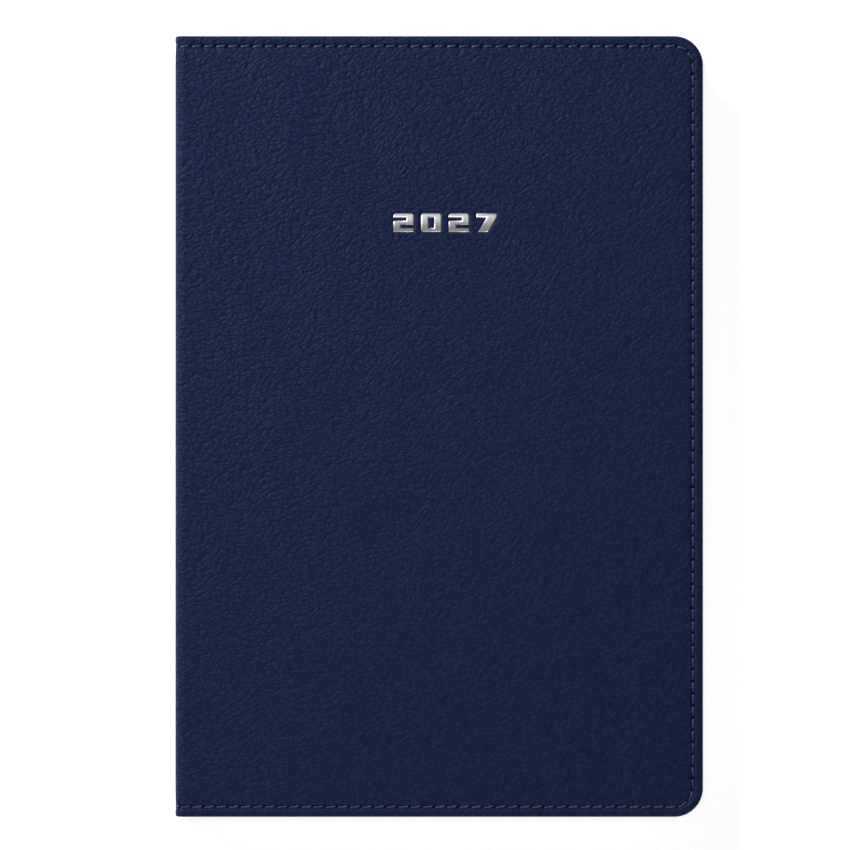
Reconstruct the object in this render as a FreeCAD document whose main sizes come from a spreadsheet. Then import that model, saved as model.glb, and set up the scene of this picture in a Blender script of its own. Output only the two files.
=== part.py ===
"""Case-bound pilot logbook, closed and lying on its back cover.

Frame: the origin is the centre of the rectangle that the book rests on, +X runs from the spine to the
fore-edge, +Y from tail to head, and +Z from the back cover up to the front cover. Millimetres.

The case is one leatherette skin over padded boards. It is split here where it bends, along two mitres
at the spine's rounded corners, and each mitre's outer edge is a hinge line. The book block is ten sewn
sections between two flyleaves.
"""

import FreeCAD, Part
import math
import os

import Sketcher

DRIVING = [
    # the closed book
    ("cover_width", 146.0, "spine to fore-edge"),
    ("cover_height", 216.0, "head to tail"),
    ("corner_radius", 8.0, "fore-edge corners of the cover"),
    ("spine_radius", 2.5, "rounded corners of the spine, across the book"),
    # layers of one cover, outside to inside
    ("skin", 0.8, "leatherette"),
    ("padding", 0.7, "foam sheet under the skin"),
    ("board", 1.0, "grey board"),
    ("turn_in", 0.5, "pared leatherette folded over the inside of the board"),
    ("turn_in_width", 9.0, "how far the skin is folded in from the case's edge"),
    ("edge_round", 1.1, "rounding of the cover's outer edge"),
    ("inner_edge_round", 0.4, "rounding of the cover's inner edge"),
    ("board_gap", 2.0, "bare skin between the spine's rounded corner and the board"),
    ("paper_inset", 5.0, "cover edge to the pasted-down endpaper"),
    # the book block
    ("section_thickness", 1.3, "sixteen leaves"),
    ("endpaper", 0.2, "endpaper sheet"),
    ("leaf_gap", 0.1, "air between leaves that turn apart"),
    ("square", 3.0, "how far the cover stands past the leaves"),
    ("fold_round", 0.45, "rounding of a section's fold"),
    # the spine
    ("stiffener", 0.5, "card in the spine, flush with its turn-ins"),
    ("mull", 0.3, "open-weave cloth glued over the folds"),
    ("mull_short", 8.0, "how far the cloth stops short of the block's ends"),
    ("sewing_thread", 0.35, "thread that sews the sections"),
    ("sewing_room", 0.4, "space for that thread between cloth and folds"),
    ("kettle_inset", 13.0, "block's end to the first sewing station"),
    ("band_bead", 1.5, "diameter of a headband's bead"),
    ("band_tape", 0.3, "headband's tape"),
    ("band_stop", 1.5, "end of the tape to the first sewing station"),
    ("band_gap", 0.1, "bead to the leaves"),
    # seam round the cover
    ("seam_inset", 2.8, "cover edge to the seam"),
    ("thread", 0.45, "needle thread, outside"),
    ("groove_width", 0.65, "channel that the needle thread pulls"),
    ("groove_depth", 0.5, "depth of that channel"),
    ("bobbin", 0.3, "bobbin thread, inside"),
    ("bobbin_groove", 0.35, "width and depth of its channel"),
    ("seam_end", 0.6, "how far a cover's seam runs past the bend, or stops short of the mitre"),
    # year numerals
    ("digit_width", 5.75, "one numeral"),
    ("digit_height", 5.25, "one numeral"),
    ("digit_pitch", 7.65, "left edge to left edge"),
    ("digit_stem", 2.05, "upright stroke"),
    ("digit_bar", 1.2, "level stroke"),
    ("digit_round", 0.8, "outer corners of a numeral"),
    ("digits_left", -12.7, "left edge of the first numeral"),
    ("digits_foot", 53.7, "foot of the numerals above the cover's middle"),
    ("stamp_depth", 0.3, "how deep the numerals are pressed in"),
    ("foil", 0.2, "metal foil"),
]
SECTIONS = 10
STATIONS = 6

doc = FreeCAD.newDocument("logbook")
sheet = doc.addObject("Spreadsheet::Sheet", "Sizes")


class Size:
    """A length with its number now and the expression that keeps it tied to the sheet."""

    def __init__(self, number, text=None):
        self.number = float(number)
        self.text = text or repr(float(number))

    def __add__(self, other):
        return join(self, "+", other)

    def __radd__(self, other):
        return join(other, "+", self)

    def __sub__(self, other):
        return join(self, "-", other)

    def __rsub__(self, other):
        return join(other, "-", self)

    def __mul__(self, other):
        return join(self, "*", other)

    def __rmul__(self, other):
        return join(other, "*", self)

    def __truediv__(self, other):
        return join(self, "/", other)

    def __neg__(self):
        return Size(-self.number, f"-({self.text})")


def join(a, sign, b):
    a, b = (x if isinstance(x, Size) else Size(x) for x in (a, b))
    number = {
        "+": a.number + b.number,
        "-": a.number - b.number,
        "*": a.number * b.number,
        "/": a.number / (b.number or 1.0),
    }[sign]
    return Size(number, f"({a.text} {sign} {b.text})")


def fill_sheet():
    """Writes the driving sizes into the sheet, and returns each as a Size under its alias."""
    sizes = {}
    for row, (alias, value, note) in enumerate(DRIVING, start=1):
        sheet.set(f"A{row}", alias)
        sheet.set(f"B{row}", str(value))
        sheet.setAlias(f"B{row}", alias)
        sheet.set(f"C{row}", note)
        sizes[alias] = Size(value, f"Sizes.{alias}")
    doc.recompute()
    return sizes


S = fill_sheet()
ZERO = Size(0)

# ---- places worked out from the driving sizes ----

HALF_WIDTH = S["cover_width"] / 2
HALF_HEIGHT = S["cover_height"] / 2
COVER = S["skin"] + S["padding"] + S["board"] + S["turn_in"]
BLOCK = S["section_thickness"] * SECTIONS + S["endpaper"] * 2 + S["leaf_gap"] * 3
THICKNESS = COVER * 2 + S["endpaper"] * 2 + S["leaf_gap"] + BLOCK
MITRE = S["spine_radius"] * (1 - math.sqrt(0.5))  # outer corner to the hinge line, on X and on Z
SPINE_OUT = -HALF_WIDTH
BEND = SPINE_OUT + S["spine_radius"]
SPINE_IN = SPINE_OUT + S["skin"] + S["stiffener"]
CLOTH_IN = SPINE_IN + S["mull"]
FOLDS = CLOTH_IN + S["sewing_room"]
FORE_EDGE = HALF_WIDTH - S["square"]
LEAF_HALF = HALF_HEIGHT - S["square"]
LEAF_RADIUS = S["corner_radius"] - S["square"]
BOARD_LEFT = BEND + S["board_gap"]
MITRE_IN = SPINE_OUT + COVER  # where the mitre meets the cover's inner face
FRONT_HINGE = (SPINE_OUT + MITRE, THICKNESS - MITRE)
BACK_HINGE = (SPINE_OUT + MITRE, MITRE)
BEYOND = Size(1)  # how far a cutting outline runs past what it cuts


# ---- sketches ----


def new_body(label):
    body = doc.addObject("PartDesign::Body", label)
    body.Label = label
    return body


def new_sketch(body, role, height=ZERO):
    """A sketch on one of the body's origin planes, height along that plane's normal."""
    sketch = body.newObject("Sketcher::SketchObject", body.Name + "_sketch")
    support = next(f for f in body.Origin.OriginFeatures if f.Role == role)
    sketch.AttachmentSupport = [(support, "")]
    sketch.MapMode = "FlatFace"
    sketch.setExpression("AttachmentOffset.Base.z", height.text)
    return sketch


def tie(sketch, kind, geometry, position, size):
    """Ties one coordinate of a point to the sheet, measured from the sketch's origin."""
    if size.number == 0:
        axis = -2 if kind == "DistanceX" else -1
        sketch.addConstraint(Sketcher.Constraint("PointOnObject", geometry, position, axis))
        return
    if size.number > 0:
        ends = (-1, 1, geometry, position)
    else:
        ends = (geometry, position, -1, 1)
        size = -size
    index = sketch.addConstraint(Sketcher.Constraint(kind, *ends, size.number))
    sketch.setExpression(f"Constraints[{index}]", size.text)


def direction(a, b):
    """+X, -X, +Y or -Y as a pair, or None where the edge from a to b slants."""
    dx, dy = b[0].number - a[0].number, b[1].number - a[1].number
    if a[1] is b[1] or abs(dy) < 1e-9:
        return (math.copysign(1, dx), 0.0)
    if a[0] is b[0] or abs(dx) < 1e-9:
        return (0.0, math.copysign(1, dy))
    return None


def add_line(sketch, a, b):
    start, end = (FreeCAD.Vector(p[0], p[1], 0) for p in (a, b))
    return sketch.addGeometry(Part.LineSegment(start, end), False)


def add_arc(sketch, centre, start, end):
    """The shorter arc about centre from start to end. Returns its index and the positions of its ends."""
    a, b = (math.atan2(p[1] - centre[1], p[0] - centre[0]) for p in (start, end))
    left = math.sin(b - a) > 0
    low, high = (a, b) if left else (b, a)
    radius = math.hypot(start[0] - centre[0], start[1] - centre[1])
    circle = Part.Circle(FreeCAD.Vector(centre[0], centre[1], 0), FreeCAD.Vector(0, 0, 1), radius)
    index = sketch.addGeometry(Part.ArcOfCircle(circle, low, high), False)
    return index, (1, 2) if left else (2, 1)


def add_outline(sketch, corners, closed=True):
    """Lines through corners of (x, y) or (x, y, radius), tied to the sheet.

    A rounded corner joins level and upright lines.
    """
    count = len(corners)
    edges = count if closed else count - 1
    way = [direction(corners[i], corners[(i + 1) % count]) for i in range(edges)]

    def trimmed(i, sign):
        x, y = corners[i][0].number, corners[i][1].number
        if len(corners[i]) < 3:
            return x, y
        dx, dy = way[i - 1] if sign < 0 else way[i]
        r = corners[i][2].number
        return x + sign * dx * r, y + sign * dy * r

    lines = [add_line(sketch, trimmed(i, 1), trimmed((i + 1) % count, -1)) for i in range(edges)]
    for i, line in enumerate(lines):
        if way[i] is None:
            continue
        level = way[i][1] == 0
        sketch.addConstraint(Sketcher.Constraint("Horizontal" if level else "Vertical", line))
        tie(sketch, "DistanceY" if level else "DistanceX", line, 1, corners[i][1 if level else 0])
    for i in range(count):
        before = lines[i - 1] if closed or i > 0 else None
        after = lines[i] if i < edges else None
        if len(corners[i]) > 2:
            radius = corners[i][2]
            (ax, ay), (bx, by) = way[i - 1], way[i]
            r = radius.number
            centre = (corners[i][0].number + (bx - ax) * r, corners[i][1].number + (by - ay) * r)
            arc, (start, end) = add_arc(sketch, centre, trimmed(i, -1), trimmed(i, 1))
            sketch.addConstraint(Sketcher.Constraint("Tangent", before, 2, arc, start))
            sketch.addConstraint(Sketcher.Constraint("Tangent", arc, end, after, 1))
            index = sketch.addConstraint(Sketcher.Constraint("Radius", arc, r))
            sketch.setExpression(f"Constraints[{index}]", radius.text)
            continue
        if before is not None and after is not None:
            sketch.addConstraint(Sketcher.Constraint("Coincident", before, 2, after, 1))
        touching = [way[k] for k, e in ((i - 1, before), (i, after)) if e is not None]
        line, position = (after, 1) if after is not None else (before, 2)
        if not any(w and w[1] != 0 for w in touching):
            tie(sketch, "DistanceX", line, position, corners[i][0])
        if not any(w and w[0] != 0 for w in touching):
            tie(sketch, "DistanceY", line, position, corners[i][1])
    return lines


def panel(left, right, half, radius):
    """The corners of a cover or a leaf: square at the spine, rounded at the fore-edge."""
    return [(left, -half), (right, -half, radius), (right, half, radius), (left, half)]


def box(left, right, low, high):
    return [(left, low), (right, low), (right, high), (left, high)]


# ---- features ----


def pad(body, sketch, length, down=False, middle=False):
    feature = body.newObject("PartDesign::Pad", body.Name + "_pad")
    feature.Profile = sketch
    feature.setExpression("Length", length.text)
    feature.Reversed = down
    feature.Midplane = middle
    return feature


def pocket(body, sketch, depth, up=False, middle=False):
    """Cuts the sketch's outline out of the body, and makes sure that it cut something."""
    doc.recompute()
    whole = body.Shape.Volume
    feature = body.newObject("PartDesign::Pocket", body.Name + "_cut")
    feature.Profile = sketch
    feature.setExpression("Length", depth.text)
    feature.Reversed = up
    feature.Midplane = middle
    doc.recompute()
    if not body.Shape.Volume < whole - 1e-6:
        raise RuntimeError(f"{feature.Label} cuts nothing")
    return feature


def round_edges(body, radius, chosen):
    """Fillets the edges of the body's tip that chosen picks by their bounding box."""
    doc.recompute()
    tip = body.Tip
    names = [
        f"Edge{n}" for n, edge in enumerate(tip.Shape.Edges, start=1) if chosen(edge.BoundBox)
    ]
    fillet = body.newObject("PartDesign::Fillet", body.Name + "_round")
    fillet.Base = (tip, names)
    fillet.setExpression("Radius", radius.text)
    return fillet


def slab(label, outline, foot, thickness):
    """A flat sheet with that outline, from foot up."""
    body = new_body(label)
    sketch = new_sketch(body, "XY_Plane", foot)
    add_outline(sketch, outline)
    pad(body, sketch, thickness)
    return body


def near(a, size):
    return abs(a - size.number) < 1e-4


# ---- a cover, built outer face at z = 0 and inner face at z = -COVER ----


def place_cover(body, side):
    """The front cover is lifted to the top. The back cover is turned over, spine still at -X."""
    if side == "front":
        body.setExpression("Placement.Base.z", THICKNESS.text)
    else:
        turned = FreeCAD.Rotation(FreeCAD.Vector(1, 0, 0), 180)
        body.Placement = FreeCAD.Placement(FreeCAD.Vector(0, 0, 0), turned)


def cut_mitre(body):
    """Rounds the cover off at the spine and cuts it along the mitre that passes through the hinge line."""
    sketch = new_sketch(body, "XZ_Plane")
    foot = COVER + BEYOND
    hinge = (SPINE_OUT + MITRE, -MITRE)
    toe = (hinge[0] + foot - MITRE, -foot)
    outside = SPINE_OUT - BEYOND
    corners = [(BEND, ZERO), (BEND, BEYOND), (outside, BEYOND), (outside, -foot), toe, hinge]
    numbers = [(x.number, y.number) for x, y in corners]
    lines = [add_line(sketch, a, b) for a, b in zip(numbers, numbers[1:])]
    centre = (BEND.number, -S["spine_radius"].number)
    arc, (start, end) = add_arc(sketch, centre, numbers[-1], numbers[0])
    for first, second in zip(lines, lines[1:]):
        sketch.addConstraint(Sketcher.Constraint("Coincident", first, 2, second, 1))
    sketch.addConstraint(Sketcher.Constraint("Coincident", lines[-1], 2, arc, start))
    sketch.addConstraint(Sketcher.Constraint("Coincident", arc, end, lines[0], 1))
    for line, (x, y) in zip(lines, corners):
        tie(sketch, "DistanceX", line, 1, x)
        tie(sketch, "DistanceY", line, 1, y)
    for kind, size in (("DistanceX", hinge[0]), ("DistanceY", hinge[1])):
        tie(sketch, kind, lines[-1], 2, size)
    index = sketch.addConstraint(Sketcher.Constraint("Radius", arc, S["spine_radius"].number))
    sketch.setExpression(f"Constraints[{index}]", S["spine_radius"].text)
    pocket(body, sketch, S["cover_height"] + BEYOND * 2, middle=True)


def seam_channel(left, width):
    """A channel of that width along the seam, open at the spine, as one closed outline."""
    outer, inner = S["seam_inset"] - width / 2, S["seam_inset"] + width / 2
    reach = panel(left, HALF_WIDTH - outer, HALF_HEIGHT - outer, S["corner_radius"] - outer)
    back = panel(left, HALF_WIDTH - inner, HALF_HEIGHT - inner, S["corner_radius"] - inner)
    return reach + back[::-1]


def cover_skin(side):
    """Leatherette round one board: outer face, edge, and the turn-in folded over the inside."""
    body = new_body(f"{side}_cover_skin")
    sketch = new_sketch(body, "XY_Plane")
    add_outline(sketch, panel(SPINE_OUT, HALF_WIDTH, HALF_HEIGHT, S["corner_radius"]))
    pad(body, sketch, COVER, down=True)
    for z, radius in ((ZERO, S["edge_round"]), (-COVER, S["inner_edge_round"])):
        round_edges(
            body,
            radius,
            lambda b, z=z: near(b.ZMin, z) and near(b.ZMax, z) and not near(b.XMax, SPINE_OUT),
        )
    cut_mitre(body)
    sketch = new_sketch(body, "XY_Plane", -S["skin"])
    inside = HALF_WIDTH - S["skin"], HALF_HEIGHT - S["skin"], S["corner_radius"] - S["skin"]
    add_outline(sketch, panel(BEND, *inside))
    pocket(body, sketch, S["padding"] + S["board"])
    sketch = new_sketch(body, "XY_Plane", -COVER)
    width = S["turn_in_width"]
    add_outline(sketch, box(SPINE_OUT, HALF_WIDTH - width, width - HALF_HEIGHT, HALF_HEIGHT - width))
    pocket(body, sketch, S["turn_in"], up=True)
    sketch = new_sketch(body, "XY_Plane")
    add_outline(sketch, seam_channel(SPINE_OUT, S["groove_width"]))
    pocket(body, sketch, S["groove_depth"])
    sketch = new_sketch(body, "XY_Plane", -COVER)
    add_outline(sketch, seam_channel(SPINE_OUT, S["bobbin_groove"]))
    pocket(body, sketch, S["bobbin_groove"], up=True)
    if side == "front":
        for number, digit in enumerate("2027"):
            sketch = new_sketch(body, "XY_Plane")
            draw_digit(sketch, digit, number)
            pocket(body, sketch, S["stamp_depth"])
    place_cover(body, side)


def cover_fillings(side):
    """The flat sheets in one cover: foam, grey board, the card between the turn-ins, and the endpaper."""
    inset, width = S["skin"], S["turn_in_width"]
    reach = HALF_WIDTH - inset, HALF_HEIGHT - inset, S["corner_radius"] - inset
    between = box(MITRE_IN, HALF_WIDTH - width, width - HALF_HEIGHT, HALF_HEIGHT - width)
    paper = S["paper_inset"]
    paste = panel(MITRE_IN, HALF_WIDTH - paper, HALF_HEIGHT - paper, S["corner_radius"] - paper)
    layers = [
        ("padding", panel(BEND, *reach), S["skin"], S["padding"]),
        ("board", panel(BOARD_LEFT, *reach), S["skin"] + S["padding"], S["board"]),
        ("infill", between, COVER - S["turn_in"], S["turn_in"]),
        ("pastedown", paste, COVER, S["endpaper"]),
    ]
    for name, outline, depth, thickness in layers:
        place_cover(slab(f"{side}_{name}", outline, -depth - thickness, thickness), side)


def seam_thread(label, side, height, diameter, left):
    """A round thread laid along the seam of one cover, its middle at that height."""
    body = new_body(label)
    inset = S["seam_inset"]
    corner = S["corner_radius"] - inset
    route = panel(left, HALF_WIDTH - inset, HALF_HEIGHT - inset, corner)
    path = new_sketch(body, "XY_Plane", height)
    add_outline(path, route, closed=False)
    profile = new_sketch(body, "YZ_Plane", left)
    y, z, r = (inset - HALF_HEIGHT).number, height.number, diameter.number / 2
    circle = Part.Circle(FreeCAD.Vector(y, z, 0), FreeCAD.Vector(0, 0, 1), r)
    profile.addGeometry(circle, False)
    tie(profile, "DistanceX", 0, 3, inset - HALF_HEIGHT)
    tie(profile, "DistanceY", 0, 3, height)
    index = profile.addConstraint(Sketcher.Constraint("Diameter", 0, diameter.number))
    profile.setExpression(f"Constraints[{index}]", diameter.text)
    doc.recompute()
    pipe = body.newObject("PartDesign::AdditivePipe", body.Name + "_pipe")
    pipe.Profile = profile
    pipe.Spine = (path, [f"Edge{n}" for n in range(1, len(path.Shape.Edges) + 1)])
    place_cover(body, side)


# ---- year numerals ----


def digit_corners(digit, left):
    """The outline of one block numeral, and of its hole if it has one."""
    w, h, stem, bar, r = (
        S[n] for n in ("digit_width", "digit_height", "digit_stem", "digit_bar", "digit_round")
    )
    foot = S["digits_foot"]
    right, top = left + w, foot + h
    slot = (h - bar * 3) / 2
    if digit == "2":
        lower, upper = foot + bar, top - bar
        return [
            [
                (left, foot),
                (right, foot),
                (right, lower),
                (left + stem, lower),
                (left + stem, lower + slot),
                (right, lower + slot, r / 2),
                (right, top, r),
                (left, top, r),
                (left, upper),
                (right - stem, upper),
                (right - stem, upper - slot),
                (left, upper - slot, r / 2),
            ]
        ]
    if digit == "0":
        outside = [(left, foot, r), (right, foot, r), (right, top, r), (left, top, r)]
        return [outside, box(left + stem, right - stem, foot + bar, top - bar)]
    toe = left + stem * 0.22
    return [
        [
            (toe, foot),
            (toe + stem * 1.35, foot),
            (right, top - bar),
            (right, top),
            (left, top),
            (left, top - bar),
            (right - stem * 1.4, top - bar),
        ]
    ]


def draw_digit(sketch, digit, number):
    left = S["digits_left"] + S["digit_pitch"] * number
    for outline in digit_corners(digit, left):
        add_outline(sketch, outline)


def year_numerals():
    """Four foil numerals, sunk into the front cover's skin."""
    digits = []
    for number, digit in enumerate("2027"):
        body = new_body(f"numeral_{number + 1}")
        sketch = new_sketch(body, "XY_Plane", -S["stamp_depth"])
        draw_digit(sketch, digit, number)
        pad(body, sketch, S["foil"])
        digits.append(body)
    group = doc.addObject("Part::Compound", "year_numerals")
    group.Label = "year_numerals"
    group.Links = digits
    place_cover(group, "front")
    return digits


# ---- spine ----


def spine_profile(sketch, inset, right):
    """The spine's outer outline, drawn inset from its face, and closed at right."""
    radius = S["spine_radius"] - inset
    left, low, high = SPINE_OUT + inset, inset, THICKNESS - inset
    add_outline(sketch, [(left, low, radius), (right, low), (right, high), (left, high, radius)])


def spine_skin():
    """Leatherette over the spine, from mitre to mitre, folded in at head and tail like the covers'."""
    body = new_body("spine_skin")
    sketch = new_sketch(body, "XZ_Plane")
    spine_profile(sketch, ZERO, BEND + BEYOND)
    pad(body, sketch, S["cover_height"], middle=True)
    round_edges(
        body,
        S["edge_round"],
        lambda b: near(b.YMax, Size(b.YMin)) and not near(b.XMin, BEND + BEYOND),
    )
    sketch = new_sketch(body, "XZ_Plane")
    step = SPINE_IN - FRONT_HINGE[0]
    far = BEND + BEYOND * 2
    reach = far - FRONT_HINGE[0]
    add_outline(
        sketch,
        [
            (SPINE_IN, MITRE + step),
            BACK_HINGE,
            (BACK_HINGE[0] + BEYOND, MITRE - reach),
            (far, MITRE - reach),
            (far, THICKNESS - MITRE + reach),
            (FRONT_HINGE[0] + BEYOND, THICKNESS - MITRE + reach),
            FRONT_HINGE,
            (SPINE_IN, THICKNESS - MITRE - step),
        ],
    )
    pocket(body, sketch, S["cover_height"] + BEYOND * 2, middle=True)
    sketch = new_sketch(body, "XZ_Plane")
    add_outline(sketch, card_box())
    pocket(body, sketch, S["cover_height"] - S["turn_in_width"] * 2, middle=True)
    for sign in (-1, 1):
        y = (HALF_HEIGHT - S["seam_inset"]) * sign
        sketch = new_sketch(body, "XZ_Plane", -y - S["groove_width"] / 2)
        spine_profile(sketch, S["groove_depth"], HALF_WIDTH)
        outside = -BEYOND, THICKNESS + BEYOND
        add_outline(sketch, box(SPINE_OUT - BEYOND, HALF_WIDTH + BEYOND, *outside))
        pocket(body, sketch, S["groove_width"], up=True)


def card_box():
    """The spine card's section, between the leatherette and the cloth."""
    left = SPINE_OUT + S["skin"]
    return box(left, SPINE_IN, S["spine_radius"], THICKNESS - S["spine_radius"])


def upright(label, outline, length):
    """A piece with a constant section across the book, centred between head and tail."""
    body = new_body(label)
    sketch = new_sketch(body, "XZ_Plane")
    add_outline(sketch, outline)
    pad(body, sketch, length, middle=True)
    return body


def spine_thread(label, sign):
    """The seam's needle thread where it runs round the spine."""
    body = new_body(label)
    depth = S["groove_depth"] - S["thread"] / 2
    radius = S["spine_radius"] - depth
    left, low, high = SPINE_OUT + depth, depth, THICKNESS - depth
    y = (HALF_HEIGHT - S["seam_inset"]) * sign
    path = new_sketch(body, "XZ_Plane", -y)
    lean = math.radians(36)
    low_end = (BEND - radius * math.cos(lean), S["spine_radius"] - radius * math.sin(lean))
    high_end = (low_end[0], THICKNESS - low_end[1])
    foot, top = S["spine_radius"], THICKNESS - S["spine_radius"]
    low_arc, low_ends = add_arc(
        path,
        (BEND.number, foot.number),
        (low_end[0].number, low_end[1].number),
        (left.number, foot.number),
    )
    line = add_line(path, (left.number, foot.number), (left.number, top.number))
    high_arc, high_ends = add_arc(
        path,
        (BEND.number, top.number),
        (left.number, top.number),
        (high_end[0].number, high_end[1].number),
    )
    path.addConstraint(Sketcher.Constraint("Vertical", line))
    tie(path, "DistanceX", line, 1, left)
    path.addConstraint(Sketcher.Constraint("Tangent", low_arc, low_ends[1], line, 1))
    path.addConstraint(Sketcher.Constraint("Tangent", line, 2, high_arc, high_ends[0]))
    for arc, position, point in ((low_arc, low_ends[0], low_end), (high_arc, high_ends[1], high_end)):
        tie(path, "DistanceX", arc, position, point[0])
        index = path.addConstraint(Sketcher.Constraint("Radius", arc, radius.number))
        path.setExpression(f"Constraints[{index}]", radius.text)
    for arc, height in ((low_arc, foot), (high_arc, top)):
        tie(path, "DistanceY", arc, 3, height)
    doc.recompute()
    profile = new_sketch(body, "XY_Plane", THICKNESS / 2)
    r = S["thread"].number / 2
    circle = Part.Circle(FreeCAD.Vector(left.number, y.number, 0), FreeCAD.Vector(0, 0, 1), r)
    profile.addGeometry(circle, False)
    tie(profile, "DistanceX", 0, 3, left)
    tie(profile, "DistanceY", 0, 3, y)
    index = profile.addConstraint(Sketcher.Constraint("Diameter", 0, S["thread"].number))
    profile.setExpression(f"Constraints[{index}]", S["thread"].text)
    pipe = body.newObject("PartDesign::AdditivePipe", body.Name + "_pipe")
    pipe.Profile = profile
    pipe.Spine = (path, ["Edge1", "Edge2", "Edge3"])


# ---- book block ----


def leaf_outline():
    return panel(FOLDS, FORE_EDGE, LEAF_HALF, LEAF_RADIUS)


def book_block():
    """Flyleaf, ten sections and flyleaf, from the back cover up. Leaves that turn apart have air between."""
    level = COVER + S["endpaper"]
    slab("back_flyleaf", leaf_outline(), level, S["endpaper"])
    level = level + S["endpaper"]
    first_spread = SECTIONS // 2
    for number in range(SECTIONS, 0, -1):
        body = slab(f"section_{number:02d}", leaf_outline(), level, S["section_thickness"])
        round_edges(body, S["fold_round"], lambda b: near(b.XMax, FOLDS) and b.YLength > 1)
        level = level + S["section_thickness"]
        if number in (first_spread + 2, first_spread + 1, first_spread):
            level = level + S["leaf_gap"]
    slab("front_flyleaf", leaf_outline(), level, S["endpaper"])


def section_sewing():
    """Thread across the folds at each sewing station, from the last section to the first."""
    foot = COVER + S["endpaper"] * 2 + S["section_thickness"] / 2
    tall = BLOCK - S["section_thickness"] - S["endpaper"] * 2
    reach = LEAF_HALF - S["kettle_inset"]
    threads = []
    for number in range(STATIONS):
        share = 2 * number / (STATIONS - 1) - 1
        thread = doc.addObject("Part::Cylinder", f"station_{number + 1}")
        thread.setExpression("Radius", (S["sewing_thread"] / 2).text)
        thread.setExpression("Height", tall.text)
        thread.setExpression("Placement.Base.x", (CLOTH_IN + S["sewing_thread"] / 2).text)
        thread.setExpression("Placement.Base.y", (reach * share).text)
        thread.setExpression("Placement.Base.z", foot.text)
        threads.append(thread)
    group = doc.addObject("Part::Compound", "section_sewing")
    group.Label = "section_sewing"
    group.Links = threads
    return threads


def headband(label, sign):
    """A tape glued over the folds, with a corded bead that stands on the ends of the leaves."""
    body = new_body(label)
    foot = COVER + S["endpaper"] * 2 + S["leaf_gap"] * 2
    sketch = new_sketch(body, "XY_Plane", foot)
    end = LEAF_HALF + S["band_gap"]
    bead = S["band_bead"]
    left, back = CLOTH_IN, CLOTH_IN + S["band_tape"]
    low = (LEAF_HALF - S["kettle_inset"] + S["band_stop"]) * sign
    near_end, far_end = end * sign, (end + bead) * sign
    corners = [(left, low), (back, low), (back, near_end), (left + bead, near_end)]
    corners += [(left + bead, far_end, bead / 3), (left, far_end, bead / 3)]
    if sign < 0:
        corners = corners[::-1]
    add_outline(sketch, corners)
    pad(body, sketch, THICKNESS - foot * 2)


def check_and_write(helpers):
    """Refuses a failed object or a bad shape, then writes one STEP file for each sub-part."""
    doc.recompute()
    for item in doc.Objects:
        if {"Invalid", "Error"} & set(item.State):
            raise RuntimeError(f"{item.Label} failed: {item.State}")
    parts = [
        item
        for item in doc.Objects
        if item.TypeId in ("PartDesign::Body", "Part::Compound") and item not in helpers
    ]
    for part in parts:
        if part.Shape.isNull() or not part.Shape.isValid():
            raise RuntimeError(f"{part.Label} has a bad shape")
    os.makedirs("parts", exist_ok=True)
    for part in parts:
        part.Shape.exportStep(f"parts/{part.Label}.step")
        print(f"{part.Label}: {len(part.Shape.Solids)} solid(s), {part.Shape.Volume:.1f} mm3")


def build():
    for side in ("front", "back"):
        cover_skin(side)
        cover_fillings(side)
        outer = S["groove_depth"] - S["thread"] / 2
        inner = COVER - S["bobbin_groove"] + S["bobbin"] / 2
        seam_thread(f"{side}_seam_thread", side, -outer, S["thread"], BEND - S["seam_end"])
        start = SPINE_OUT + inner + S["seam_end"]
        seam_thread(f"{side}_bobbin_thread", side, -inner, S["bobbin"], start)
    digits = year_numerals()
    spine_skin()
    upright("spine_card", card_box(), S["cover_height"] - S["turn_in_width"] * 2)
    mull_foot = COVER + S["endpaper"]
    mull = box(SPINE_IN, CLOTH_IN, mull_foot, THICKNESS - mull_foot)
    upright("spine_cloth", mull, (LEAF_HALF - S["mull_short"]) * 2)
    spine_thread("spine_head_thread", 1)
    spine_thread("spine_tail_thread", -1)
    book_block()
    stations = section_sewing()
    headband("head_band", 1)
    headband("tail_band", -1)
    check_and_write(digits + stations)


build()
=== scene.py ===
"""Pilot logbook in padded navy leatherette, lying closed on its back cover.

Metres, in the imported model's frame: +X from the spine to the fore-edge, +Y from tail to head, and +Z
from the back cover up to the front cover.
"""

import bmesh
import bpy
import math
import numpy as np
from mathutils import Matrix, Vector


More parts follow.
